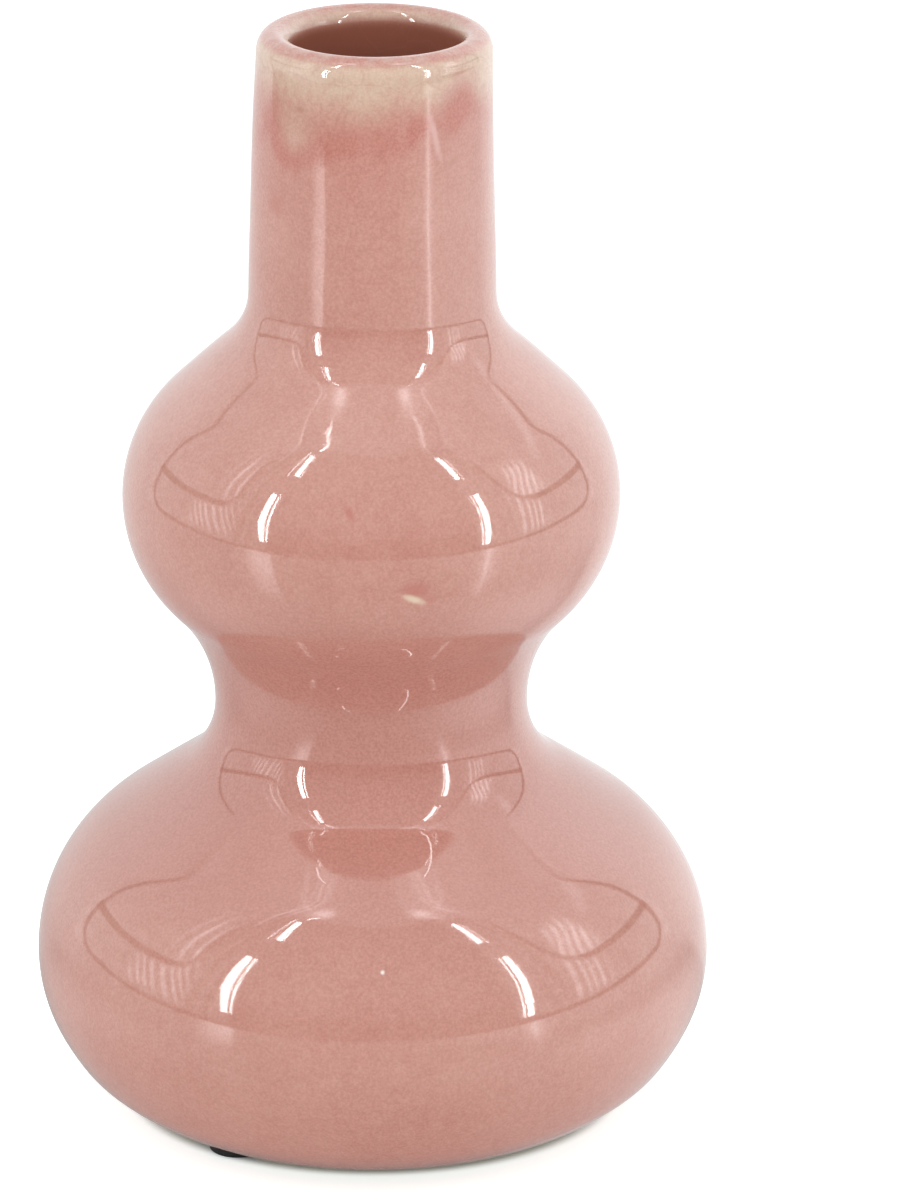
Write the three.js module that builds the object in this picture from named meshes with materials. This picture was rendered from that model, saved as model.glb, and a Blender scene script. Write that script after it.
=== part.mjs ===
// Earthenware vase: a wide belly, a narrow waist, a smaller bulb and a straight tapered neck.
// The pot is one hollow cast piece, and it stands on three rubber pads stuck to its foot.
// Millimetres, +Z up. The origin is the centre of the stance, on the surface the pads stand on.
import * as THREE from "three";

const degree = Math.PI / 180;

// Sizes of the pot
const wall = 5.7; // even thickness, as slip casting leaves it
const footRadius = 41.5;
const footEdge = 1.5; // rounding between the flat foot and the underside
const recessDepth = 1.5;
const undersideAngle = 72 * degree; // most that the belly turns under before it runs straight
const bellyRadius = 60;
const bellyLowerArc = 27.5;
const bellyUpperArc = 31;
const flankAngle = 55 * degree; // turn of the belly before its straight flank
const waistRadius = 27.7;
const waistLowerArc = 16;
const waistUpperArc = 26;
const bulbRadius = 43.8;
const bulbLowerArc = 27.5;
const bulbUpperArc = 26;
const shoulderAngle = 48 * degree; // turn of the bulb before its straight shoulder
const neckArc = 13.5; // hollow curve between the shoulder and the neck
const neckLength = 44;
const neckTaper = 1.6 * degree;
const rimRadius = 20.4;
const floorArc = 10; // hollow curve between the floor and the wall, inside

// Sizes of the stick-on pads
const padRadius = 5;
const padThickness = 1.8;
const padEdge = 0.4;
const padMargin = 1.5; // foot left bare on the inner side of a pad
const adhesiveThickness = 0.2;
const firstPadAzimuth = 229 * degree; // from +X towards +Y
const padPlaces = ["front_left", "right", "back"]; // evenly round the foot

// Facets: steps in a full turn, and how far a facet may lie from the true arc
const turnSteps = 64;
const padSteps = 32;
const outsideSag = 0.14;
const insideSag = 0.3;
const edgeSag = 0.05;

const footHeight = padThickness + adhesiveThickness;
const upright = 0; // outward normal of an upright wall
const level = Math.PI / 2; // outward normal of a level face, up, or down if below zero

const glaze = new THREE.MeshStandardMaterial({
  name: "pink_glaze",
  color: "#cb9486",
  roughness: 0.1,
  metalness: 0,
});
const rubber = new THREE.MeshStandardMaterial({
  name: "black_rubber",
  color: "#17171a",
  roughness: 0.9,
  metalness: 0,
});
const adhesive = new THREE.MeshStandardMaterial({
  name: "clear_adhesive",
  color: "#d8d4c8",
  roughness: 0.5,
  metalness: 0,
});

// The curve from a wide place in the wall to a narrow one, given the radii of both places:
// an arc that starts upright, a straight stretch tangent to it, and an arc that ends at endAngle.
// The first arc turns through mostAngle, or less where the two arcs then meet with nothing straight.
// An arc's radius is below zero where the wall bends inwards, so that its centre lies outside.
function swing(wide, wideArc, narrow, narrowArc, mostAngle, endAngle) {
  const meeting = wideArc - narrowArc * Math.cos(endAngle) - (wide - narrow);
  const angle = Math.min(mostAngle, Math.acos(meeting / (wideArc - narrowArc)));
  const firstWidth = wideArc * (1 - Math.cos(angle));
  const lastWidth = narrowArc * (Math.cos(angle) - Math.cos(endAngle));
  const straight = (wide - narrow - firstWidth - lastWidth) / Math.sin(angle);
  const lastHeight = narrowArc * (Math.sin(endAngle) - Math.sin(angle));
  const height = wideArc * Math.sin(angle) + straight * Math.cos(angle) + lastHeight;
  return { angle, height };
}

// An arc through a place in the wall, where the outward normal is known, between two normals
function arcAt(place, radius, from, to) {
  return {
    r: place.r - radius * Math.cos(place.normal),
    z: place.z - radius * Math.sin(place.normal),
    radius,
    from,
    to,
  };
}

// Points along an arc, moved into the wall by inset
function arcPoints(arc, inset, sag) {
  const radius = arc.radius - inset;
  const turn = arc.to - arc.from;
  const step = 2 * Math.acos(1 - sag / Math.abs(radius));
  const steps = Math.ceil(Math.abs(turn) / step);
  return Array.from({ length: steps + 1 }, (_, i) => {
    const normal = arc.from + (turn * i) / Math.max(steps, 1);
    return new THREE.Vector2(arc.r + radius * Math.cos(normal), arc.z + radius * Math.sin(normal));
  });
}

// A solid of revolution about Z from points (r, z) that start and end on the axis.
// Where one arc starts just where another ended, their common point is taken once.
function revolved(points, steps) {
  const repeat = 0.01;
  const outline = points.filter((p, i) => i === 0 || p.distanceTo(points[i - 1]) > repeat);
  return new THREE.LatheGeometry(outline, steps).rotateX(Math.PI / 2);
}

// The arcs of the outside from the foot to the rim, each curve set on the one below it.
// A straight stretch is what lies between the end of one arc and the start of the next.
function outsideArcs() {
  const neckRadius = rimRadius + neckLength * Math.sin(neckTaper);
  const underside = swing(bellyRadius, bellyLowerArc, footRadius, footEdge, undersideAngle, level);
  const flank = swing(bellyRadius, bellyUpperArc, waistRadius, -waistLowerArc, flankAngle, upright);
  const underBulb = swing(bulbRadius, bulbLowerArc, waistRadius, -waistUpperArc, level, upright);
  const shoulder = swing(bulbRadius, bulbUpperArc, neckRadius, -neckArc, shoulderAngle, neckTaper);

  const foot = { r: footRadius, z: footHeight, normal: -level };
  const belly = { r: bellyRadius, z: foot.z + underside.height, normal: upright };
  const waist = { r: waistRadius, z: belly.z + flank.height, normal: upright };
  const bulb = { r: bulbRadius, z: waist.z + underBulb.height, normal: upright };
  const neck = { r: neckRadius, z: bulb.z + shoulder.height, normal: neckTaper };
  const rimHeight = neck.z + neckLength * Math.cos(neckTaper);
  const rim = { r: rimRadius, z: rimHeight, normal: neckTaper };

  return {
    footArc: arcAt(foot, footEdge, -level, -underside.angle),
    bodyArcs: [
      arcAt(belly, bellyLowerArc, -underside.angle, upright),
      arcAt(belly, bellyUpperArc, upright, flank.angle),
      arcAt(waist, -waistLowerArc, flank.angle, upright),
      arcAt(waist, -waistUpperArc, upright, -underBulb.angle),
      arcAt(bulb, bulbLowerArc, -underBulb.angle, upright),
      arcAt(bulb, bulbUpperArc, upright, shoulder.angle),
      arcAt(neck, -neckArc, shoulder.angle, neckTaper),
    ],
    // The lip is fully rounded, from the outside of the neck over its crest to the bore.
    lipArcs: [
      arcAt(rim, wall / 2, neckTaper, level),
      arcAt(rim, wall / 2, level, neckTaper + Math.PI),
    ],
  };
}

// The underside: a shallow recess with a rounded edge, inside a flat ring that takes the pads
function undersidePoints() {
  const recessRadius = footRadius - 2 * padRadius - padMargin;
  const recessRim = { r: recessRadius, z: footHeight, normal: upright };
  return [
    new THREE.Vector2(0, footHeight + recessDepth),
    ...arcPoints(arcAt(recessRim, recessDepth, level, upright), 0, edgeSag),
    new THREE.Vector2(footRadius, footHeight),
  ];
}

// The inside keeps one wall's thickness from the outside, down to a flat floor with a round corner.
function insidePoints(bodyArcs) {
  const [belly, ...upperArcs] = bodyArcs;
  const cavityArc = belly.radius - wall;
  const floorOverRecess = footHeight + recessDepth + wall;
  const floorHeight = Math.max(floorOverRecess, belly.z - cavityArc);
  const cornerDrop = belly.z - floorHeight - floorArc;
  const cornerStart = -Math.asin(Math.min(1, cornerDrop / (cavityArc - floorArc)));
  const bellySide = { ...belly, to: upright, from: cornerStart };
  const corner = {
    r: belly.r + (cavityArc - floorArc) * Math.cos(cornerStart),
    z: floorHeight + floorArc,
    radius: floorArc,
    from: -level,
    to: cornerStart,
  };
  const upwards = [
    new THREE.Vector2(0, floorHeight),
    ...arcPoints(corner, 0, insideSag),
    ...arcPoints(bellySide, wall, insideSag),
    ...upperArcs.flatMap((arc) => arcPoints(arc, wall, insideSag)),
  ];
  return upwards.reverse();
}

function vaseBody() {
  const { footArc, bodyArcs, lipArcs } = outsideArcs();
  const outline = [
    ...undersidePoints(),
    ...arcPoints(footArc, 0, edgeSag),
    ...bodyArcs.flatMap((arc) => arcPoints(arc, 0, outsideSag)),
    ...lipArcs.flatMap((arc) => arcPoints(arc, 0, edgeSag)),
    ...insidePoints(bodyArcs),
  ];
  const body = new THREE.Mesh(revolved(outline, turnSteps), glaze);
  body.name = "vase_body";
  return body;
}

// A round rubber pad with an eased lower edge, and the film of adhesive between it and the foot
function footPad(place, azimuth) {
  const side = { r: padRadius, z: padEdge, normal: upright };
  const padOutline = [
    new THREE.Vector2(0, 0),
    ...arcPoints(arcAt(side, padEdge, -level, upright), 0, edgeSag),
    new THREE.Vector2(padRadius, padThickness),
    new THREE.Vector2(0, padThickness),
  ];
  const pad = new THREE.Mesh(revolved(padOutline, padSteps), rubber);
  pad.name = `foot_pad_${place}`;

  const filmOutline = [
    new THREE.Vector2(0, 0),
    new THREE.Vector2(padRadius, 0),
    new THREE.Vector2(padRadius, adhesiveThickness),
    new THREE.Vector2(0, adhesiveThickness),
  ];
  const film = new THREE.Mesh(revolved(filmOutline, padSteps), adhesive);
  film.name = `pad_adhesive_${place}`;
  film.position.z = padThickness;

  const padCircle = footRadius - padRadius;
  const stack = new THREE.Group();
  stack.position.set(padCircle * Math.cos(azimuth), padCircle * Math.sin(azimuth), 0);
  stack.add(pad, film);
  return stack;
}

const vase = new THREE.Group();
vase.add(vaseBody());
padPlaces.forEach((place, i) => {
  vase.add(footPad(place, firstPadAzimuth + (2 * Math.PI * i) / padPlaces.length));
});

export default vase;
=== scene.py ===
# Glazed earthenware vase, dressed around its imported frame
import math

import bpy
import numpy as np
from mathutils import Matrix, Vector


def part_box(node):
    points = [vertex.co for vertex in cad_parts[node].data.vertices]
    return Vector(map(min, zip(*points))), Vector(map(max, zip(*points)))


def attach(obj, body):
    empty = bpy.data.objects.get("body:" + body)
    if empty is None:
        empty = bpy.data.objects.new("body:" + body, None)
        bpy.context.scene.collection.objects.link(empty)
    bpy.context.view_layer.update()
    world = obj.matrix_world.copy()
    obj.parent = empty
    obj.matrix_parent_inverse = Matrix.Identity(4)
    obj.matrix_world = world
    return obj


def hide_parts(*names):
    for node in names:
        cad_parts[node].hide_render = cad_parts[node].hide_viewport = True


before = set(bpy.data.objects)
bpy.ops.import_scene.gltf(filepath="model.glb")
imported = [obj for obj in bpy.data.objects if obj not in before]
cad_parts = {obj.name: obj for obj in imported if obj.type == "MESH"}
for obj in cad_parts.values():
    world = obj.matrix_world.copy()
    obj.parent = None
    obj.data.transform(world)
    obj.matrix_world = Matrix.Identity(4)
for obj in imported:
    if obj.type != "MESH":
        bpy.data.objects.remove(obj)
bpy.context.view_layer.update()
scene = bpy.context.scene

mm = 0.001
degree = math.pi / 180
samePlace = 0.01  # millimetres between two points that count as one
level = math.pi / 2  # outward normal of a level face; 0 is that of an upright wall
mostNoise = (0.3, 0.7)  # most values of a noise lie between these
allNoise = (0.25, 0.75)


def smoothStep(low, high, value):
    # 0 below low, 1 above high, and a smooth rise between them
    share = np.clip((value - low) / (high - low), 0, 1)
    return share * share * (3 - 2 * share)


def band(start, full, fading, end, value):
    # 0 outside start and end, 1 from full to fading, and smooth between
    return smoothStep(start, full, value) * smoothStep(end, fading, value)


def hill(centre, width, value):
    # A bell curve, 1 at its centre and about a third at one width from it
    return np.exp(-(((value - centre) / width) ** 2))


def aroundFrom(centre, angles):
    # Angles measured from a centre, between minus and plus half a turn
    return (angles - centre + math.pi) % (2 * math.pi) - math.pi


# Meshes

def wallLine(arcs, inset, longStep, turnStep):
    # Points (r, z) along arcs and the straight stretches between them, moved into the wall by inset.
    # An arc is its centre's r and z, its radius, and the outward normals where it starts and ends.
    # Its points are the centre plus the radius times the cosine and sine of the normal.
    stretches = []
    for r, z, radius, start, end in arcs:
        bend = radius - inset
        steps = math.ceil(max(abs(bend * (end - start)) / longStep, abs(end - start) / turnStep))
        normal = np.linspace(start, end, steps + 1)
        points = np.stack([r + bend * np.cos(normal), z + bend * np.sin(normal)], 1)
        if stretches:
            gap = points[0] - stretches[-1][-1]
            gapLength = np.linalg.norm(gap)
            share = np.linspace(0, 1, math.ceil(gapLength / longStep) + 1)[1:-1, None]
            stretches.append(points[0] - gap * (1 - share))
            points = points[1:] if gapLength < samePlace else points
        stretches.append(points)
    return np.concatenate(stretches)


def surfaceOfRings(name, points, attributes=None):
    # A closed skin over a grid of points [ring, step, xyz] in millimetres: a quad between each pair
    # of steps on two rings, and a fan at the first and last rings, which are poles. An attribute has
    # a value for every point of the grid.
    rings, steps = points.shape[:2]
    body = points[1:-1].reshape(-1, 3)
    verts = np.concatenate([points[:1, 0], body, points[-1:, 0]])
    grid = 1 + np.arange((rings - 2) * steps).reshape(rings - 2, steps)
    beside = np.roll(grid, -1, 1)
    quads = np.stack([grid[:-1], beside[:-1], beside[1:], grid[1:]], -1).reshape(-1, 4)
    firstPole = np.stack([np.zeros(steps, int), beside[0], grid[0]], -1)
    lastPole = np.stack([grid[-1], beside[-1], np.full(steps, len(verts) - 1)], -1)
    mesh = bpy.data.meshes.new(name)
    mesh.from_pydata((verts * mm).tolist(), [], firstPole.tolist() + quads.tolist() + lastPole.tolist())
    for key, values in (attributes or {}).items():
        flat = np.concatenate([values[:1, 0], values[1:-1].ravel(), values[-1:, 0]])
        mesh.attributes.new(key, "FLOAT", "POINT").data.foreach_set("value", flat.astype(np.float32))
    mesh.polygons.foreach_set("use_smooth", np.ones(len(mesh.polygons), bool))
    mesh.validate()
    made = bpy.data.objects.new(name, mesh)
    scene.collection.objects.link(made)
    return made


def turned(line, steps, centre=(0, 0)):
    # A line of (r, z) swept once round the vertical through centre, as a grid [ring, step, xyz]:
    # x and y are the centre's plus r times the cosine and sine of the angle
    angle = np.arange(steps) * 2 * math.pi / steps
    r, z = line[:, :1], line[:, 1:]
    x = centre[0] + r * np.cos(angle)
    y = centre[1] + r * np.sin(angle)
    return np.stack([x, y, np.broadcast_to(z, x.shape)], -1)


# Shader nodes

def setInputs(tree, node, inputs):
    # Another node's output is linked, and a plain value is written
    for key, value in inputs.items():
        if isinstance(value, bpy.types.NodeSocket):
            tree.links.new(value, node.inputs[key])
        else:
            node.inputs[key].default_value = value


def addNode(tree, kind, inputs=None, **options):
    made = tree.nodes.new("ShaderNode" + kind)
    for key, value in options.items():
        setattr(made, key, value)
    setInputs(tree, made, inputs or {})
    return made


def calc(tree, operation, a, b=0.0, clamp=False):
    # Arithmetic on one or two values
    return addNode(tree, "Math", {0: a, 1: b}, operation=operation, use_clamp=clamp).outputs[0]


def stretched(tree, place, factors):
    # A place with each axis times a factor
    return addNode(tree, "VectorMath", {0: place, 1: factors}, operation="MULTIPLY").outputs[0]


def reachOf(tree, place):
    # How far a place is from the origin
    return addNode(tree, "VectorMath", {0: place}, operation="LENGTH").outputs["Value"]


def ramp(tree, value, low, high, fromValue=0.0, toValue=1.0):
    # A smooth rise from fromValue at low to toValue at high
    made = addNode(tree, "MapRange", {0: value, 1: low, 2: high, 3: fromValue, 4: toValue},
                   interpolation_type="SMOOTHSTEP")
    return made.outputs[0]


def blend(tree, share, a, b, way="MIX"):
    # Colour a with a share of colour b
    made = addNode(tree, "Mix", {0: share, 6: a, 7: b}, data_type="RGBA", blend_type=way)
    return made.outputs[2]


def mixed(tree, share, a, b):
    # Number a with a share of number b
    return addNode(tree, "Mix", {0: share, 2: a, 3: b}, data_type="FLOAT").outputs[0]


def noise(tree, place, size, detail, roughness):
    # Smooth noise between 0 and 1, whose lumps are about size long
    settings = {"Vector": place, "Scale": 1 / size, "Detail": detail, "Roughness": roughness}
    return addNode(tree, "TexNoise", settings).outputs[0]


def attribute(tree, name):
    return addNode(tree, "Attribute", attribute_name=name).outputs["Fac"]


def paint(code):
    # A colour written as on a paint chart, red, green and blue from 00 to ff, as linear light
    parts = [int(code[i:i + 2], 16) / 255 for i in (0, 2, 4)]
    return [p / 12.92 if p <= 0.04045 else ((p + 0.055) / 1.055) ** 2.4 for p in parts] + [1.0]


def newMaterial(name):
    made = bpy.data.materials.new(name)
    made.use_nodes = True
    tree = made.node_tree
    tree.nodes.clear()
    output = tree.nodes.new("ShaderNodeOutputMaterial")
    shader = tree.nodes.new("ShaderNodeBsdfPrincipled")
    tree.links.new(shader.outputs[0], output.inputs[0])
    return made, tree, shader


def millimetres(tree):
    # The piece's own coordinates in millimetres
    place = addNode(tree, "TexCoord").outputs["Object"]
    return addNode(tree, "VectorMath", {0: place, "Scale": 1 / mm}, operation="SCALE").outputs[0]


# Camera

cameraSettings = {
    "distance": 1.300,  # metres from the point on the pot's axis that it is level with
    "elevation": 19.81 * degree,
    "height": 0.09312,  # of that point over the floor
    "focalPixels": 7366.0,
    "axisColumn": 372.7,  # where the pot's axis stands in the picture
    "picture": (897, 1200),
}


def makeCamera():
    c = cameraSettings
    wide, tall = c["picture"]
    data = bpy.data.cameras.new("pictureCamera")
    camera = bpy.data.objects.new("pictureCamera", data)
    scene.collection.objects.link(camera)
    away = c["distance"] * math.cos(c["elevation"])
    camera.location = (0, -away, c["height"] + c["distance"] * math.sin(c["elevation"]))
    camera.rotation_euler = (level - c["elevation"], 0, 0)
    data.sensor_width = 36.0
    data.lens = c["focalPixels"] * data.sensor_width / tall
    data.shift_x = (wide / 2 - c["axisColumn"]) / tall
    scene.camera = camera
    print("camera set, lens", round(data.lens, 1))


makeCamera()


# The glaze and the clay under it

glazeLook = {
    "pink": paint("c99285"),
    "deepPink": paint("c48a7d"),
    "palePink": paint("cf9f90"),
    # A duskier pink painted over the waist: painted shade and pink bounce light in its hollow
    "shadedWaistPink": paint("c2887b"),
    "poolPink": paint("bf796c"),
    "cream": paint("d7bba6"),
    "crestPink": paint("c88c80"),
    "crestBeige": paint("cda598"),
    # A darker pink for the inside: painted shade in the bore and the body
    "shadedInsidePink": paint("a06553"),
    "crackle": paint("b27668"),
    "clay": paint("cdbb9c"),
    "darkClay": paint("9f8a6c"),
    "pinholeCream": paint("e2cab2"),
    # A painted highlight: a glint as a bump of the glaze shows it
    "paintedGlintWhite": paint("f4eae2"),
    # A painted reflection: a pale streak on the neck
    "paintedReflectionPink": paint("dcb0a8"),
    "markPink": paint("be7267"),
    "markTan": paint("b5826e"),
    # Noise: the size of its lumps in millimetres, its detail and its roughness
    "mottle": (16.0, 4.0, 0.6),
    "lumps": (1.7, 2.0, 0.6),
    "speckle": (0.5, 2.0, 0.7),
    "runs": (2.6, 4.0, 0.65),
    "patches": (1.7, 4.0, 0.65),
    "lipMottle": (2.4, 4.0, 0.65),
    "crackleAreas": (22.0, 2.0, 0.5),
    "markEdge": (1.1, 2.0, 0.5),
    "clayEdge": (2.4, 3.0, 0.5),
    "clayGrain": (0.35, 3.0, 0.7),
    "swells": (11.0, 1.0, 0.5),
    "dimples": (2.6, 1.0, 0.5),
    # How much of each shows
    "lumpShare": 0.3,
    "speckleSpread": (0.050, 0.034, 0.030),  # how far the grain moves red, green and blue
    "runShare": (0.65, 1.3),
    "patchShare": (0.7, 1.3),
    "beigeFrom": (0.4, 0.62),  # values of its noise between which it comes in, and so below
    "fineCrackleFrom": (0.38, 0.62),
    "clayFrom": (0.35, 0.65),
    "clayRagged": 0.5,
    "markRagged": 0.5,
    "markFade": (0.45, 1.4),  # in half lengths from its centre
    "darkClayShare": 0.35,
    # How strongly the waist's painted shade shows, and the heights between which it comes in and goes out
    "waistShadeShare": 0.9,
    "waistShadeHeights": (42, 54, 92, 110),
    "runStretch": (1.0, 1.0, 0.16),  # below 1, the pattern is drawn out that way
    "crackleStretch": (1.0, 1.0, 0.55),
    "crackleBend": 5.0,  # millimetres that the crackle is bent by noise
    "crackleBendScale": 0.12,  # lumps of that noise in a millimetre
    "crackleNets": [(9.0, 0.13, 0.16), (4.2, 0.07, 0.15)],  # cell's size, lines' width and strength
    # Relief in millimetres
    "swellHeight": 0.030,
    "dimpleHeight": 0.0035,
    "crackleHeight": -0.006,
    "gritHeight": 0.12,
    "roughness": (0.036, 0.063),
    "clayRoughness": 0.85,
    "refraction": 1.5,
}
# Marks in the glaze, two of which are painted light: centre and half lengths in millimetres, tilt about Y
# in degrees, and strength
glazeMarks = [
    ("markPink", (7.4, -43.1, 110.3), (3.1, 3.0, 1.9), 8, 0.62),
    ("markPink", (9.9, -42.2, 108.5), (1.2, 3.0, 1.2), 0, 0.4),
    ("markPink", (-3.9, -41.5, 123.6), (0.9, 3.0, 1.7), -28, 0.62),
    ("poolPink", (-17.0, -13.9, 170.0), (2.4, 4.0, 3.0), 0, 0.6),
    ("pinholeCream", (7.0, -42.9, 108.55), (2.5, 3.0, 0.85), 22, 1.0),
    # A painted highlight on the belly's front
    ("paintedGlintWhite", (1.7, -54.9, 44.9), (0.5, 1.0, 0.5), 0, 1.0),
    ("markTan", (-12.4, -16.4, 187.6), (1.1, 3.0, 0.7), 10, 0.5),
    ("markTan", (13.6, -15.8, 178.2), (1.2, 3.0, 0.9), -30, 0.4),
    # A painted reflection: a pale streak down the neck's right side
    ("paintedReflectionPink", (10.6, -17.9, 183.4), (0.75, 3.0, 5.6), -12, 0.75),
]


def cloudyPink(tree, place, mottle):
    # Two pinks in clouds, with paler lumps, and a duskier pink painted over the waist as its shade and pink
    # bounce light
    look = glazeLook
    lumps = noise(tree, place, *look["lumps"])
    colour = blend(tree, ramp(tree, mottle, *mostNoise), look["pink"], look["deepPink"])
    colour = blend(tree, ramp(tree, lumps, *mostNoise, 0.0, look["lumpShare"]), colour, look["palePink"])
    return blend(tree, attribute(tree, "paintedWaistShade"), colour, look["shadedWaistPink"])


def thinnedAtLip(tree, place, colour):
    # The glaze pools deeper below the lip, runs thin and cream above that, and is pink on the crest
    look = glazeLook
    runs = noise(tree, stretched(tree, place, look["runStretch"]), *look["runs"])
    runs = ramp(tree, runs, *allNoise, *look["runShare"])
    patches = ramp(tree, noise(tree, place, *look["patches"]), *allNoise, *look["patchShare"])
    lipMottle = ramp(tree, noise(tree, place, *look["lipMottle"]), *look["beigeFrom"])
    crestColour = blend(tree, lipMottle, look["crestPink"], look["crestBeige"])
    coats = [("pool", runs, look["poolPink"]), ("cream", patches, look["cream"]),
             ("crest", patches, crestColour)]
    for name, unevenness, coat in coats:
        covered = calc(tree, "MULTIPLY", attribute(tree, name), unevenness, clamp=True)
        colour = blend(tree, covered, colour, coat)
    return colour


def fineGrain(tree, place):
    # What the grain adds to red, green and blue
    speckle = noise(tree, place, *glazeLook["speckle"])
    parts = [ramp(tree, speckle, *allNoise, -spread, spread) for spread in glazeLook["speckleSpread"]]
    return addNode(tree, "CombineColor", dict(enumerate(parts))).outputs[0]


def crackleNet(tree, place, size, width, strength):
    # Lines along the borders between cells
    cells = addNode(tree, "TexVoronoi", {"Vector": place, "Scale": 1 / size}, feature="DISTANCE_TO_EDGE")
    return ramp(tree, cells.outputs["Distance"], 0.0, width / size, strength, 0.0)


def crackleLines(tree, place):
    # A wide and a fine net of lines, bent by noise, with the fine one only in places
    look = glazeLook
    bend = addNode(tree, "TexNoise", {"Vector": place, "Scale": look["crackleBendScale"], "Detail": 2.0})
    bent = addNode(tree, "VectorMath", {0: bend.outputs["Color"], 1: [look["crackleBend"]] * 3, 2: place},
                   operation="MULTIPLY_ADD").outputs[0]
    drawn = stretched(tree, bent, look["crackleStretch"])
    wide, fine = [crackleNet(tree, drawn, *net) for net in look["crackleNets"]]
    shown = ramp(tree, noise(tree, place, *look["crackleAreas"]), *look["fineCrackleFrom"])
    return calc(tree, "MAXIMUM", wide, calc(tree, "MULTIPLY", fine, shown))


def singleMarks(tree, place, colour):
    # Each mark is an oval, whose soft edge noise makes ragged
    look = glazeLook
    ragged = calc(tree, "MULTIPLY", noise(tree, place, *look["markEdge"]), look["markRagged"])
    for paintName, centre, size, tilt, strength in glazeMarks:
        where = {"Vector": place, "Location": centre, "Scale": size, "Rotation": (0, tilt * degree, 0)}
        oval = addNode(tree, "Mapping", where, vector_type="TEXTURE").outputs[0]
        reach = calc(tree, "ADD", reachOf(tree, oval), ragged)
        colour = blend(tree, ramp(tree, reach, *look["markFade"], strength, 0.0), colour, look[paintName])
    return colour


def relief(tree, place, crackle, grit):
    # Slow swells in the glaze, faint dimples, crackle lines just sunk, and the grit of bare clay
    look = glazeLook
    height = calc(tree, "MULTIPLY", noise(tree, place, *look["swells"]), look["swellHeight"])
    for pattern, tallness in ((noise(tree, place, *look["dimples"]), look["dimpleHeight"]),
                              (crackle, look["crackleHeight"]), (grit, look["gritHeight"])):
        height = calc(tree, "ADD", height, calc(tree, "MULTIPLY", pattern, tallness))
    return addNode(tree, "Bump", {"Height": height, "Distance": mm, "Strength": 1.0}).outputs[0]


def pinkGlaze():
    look = glazeLook
    material, tree, shader = newMaterial("pinkCrackleGlaze")
    place = millimetres(tree)
    mottle = noise(tree, place, *look["mottle"])
    colour = thinnedAtLip(tree, place, cloudyPink(tree, place, mottle))
    colour = blend(tree, 1.0, colour, fineGrain(tree, place), "ADD")
    # The inside darkens to that pink, a painted shade of the hollow
    colour = blend(tree, attribute(tree, "inside"), colour, look["shadedInsidePink"])
    crackle = crackleLines(tree, place)
    colour = singleMarks(tree, place, blend(tree, crackle, colour, look["crackle"]))

    # Bare clay at the foot
    ragged = calc(tree, "SUBTRACT", noise(tree, place, *look["clayEdge"]), 0.5)
    ragged = calc(tree, "MULTIPLY", ragged, look["clayRagged"])
    isClay = ramp(tree, calc(tree, "ADD", attribute(tree, "bare"), ragged), *look["clayFrom"])
    clayGrain = noise(tree, place, *look["clayGrain"])
    darkShare = ramp(tree, clayGrain, *mostNoise, 0.0, look["darkClayShare"])
    clay = blend(tree, darkShare, look["clay"], look["darkClay"])

    wet = ramp(tree, mottle, *mostNoise, *look["roughness"])
    grit = calc(tree, "MULTIPLY", clayGrain, isClay)
    setInputs(tree, shader, {
        "Base Color": blend(tree, isClay, colour, clay),
        "Roughness": mixed(tree, isClay, wet, look["clayRoughness"]),
        "Normal": relief(tree, place, crackle, grit),
        "IOR": look["refraction"],
    })
    return material


# The pot

potLow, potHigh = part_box("vase_body")
potShape = {
    "wall": 5.7,
    "footRadius": 41.5,
    "footEdge": 1.5,
    "footHeight": potLow.z / mm,
    "recessDepth": 1.5,
    "recessRadius": 30.0,
    "undersideAngle": 72 * degree,
    "bellyRadius": potHigh.x / mm,
    "bellyLowerArc": 27.5,
    "bellyUpperArc": 31.0,
    "flankAngle": 55 * degree,
    "waistRadius": 27.7,
    "waistLowerArc": 16.0,
    "waistUpperArc": 26.0,
    "bulbRadius": 43.8,
    "bulbLowerArc": 27.5,
    "bulbUpperArc": 26.0,
    "shoulderAngle": 48 * degree,
    "neckArc": 13.5,
    "neckLength": 44.0,
    "neckTaper": 1.6 * degree,
    "rimRadius": 20.4,
    "floorArc": 10.0,
    "turnSteps": 256,
    "outsideStep": 1.35,
    "insideStep": 3.0,
    "middleRings": 11,
    "ringRings": 6,
    "boreRings": 26,
    "boreCrowding": 1.6,  # above 1, the rings of the bore stand closer together near the lip
    "floorRings": 9,
    "recessStep": 0.6,
    "lipStep": 9 * degree,
}
# How the hand-finished pot is off true, in millimetres. A bump is its place, its reach and its size.
offTrue = {
    "axisShift": 0.05,  # to the right, as its bumps are
    "axisStart": (2, 30),  # heights between which it comes in
    "axisBumps": [(95, 50, -0.36), (200, 14, 0.30)],
    # times in a turn, height that a radian takes, phase and size
    "waves": [(3, 14, 0.4, 0.022), (7, -6.5, 1.9, 0.013), (12, 4.4, 4.1, 0.009)],
    "slack": -0.044,  # keeps the waves inside the solid
    "neckSwell": 0.11,
    "neckSwellStart": (146, 156),
    "boreShift": 0.55,  # how far the bore sits to the right of the lip's centre
    "boreShiftStart": (150, 192),
    "lipDrop": 0.65,  # how much deeper the lip's outer half is than a round one
    "lipDropFade": (14, 3),  # below the crest
    "wallBumps": [(139, 5.5, 0.38), (57, 7, 0.13), (9, 2.8, 0.30)],
}
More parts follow.
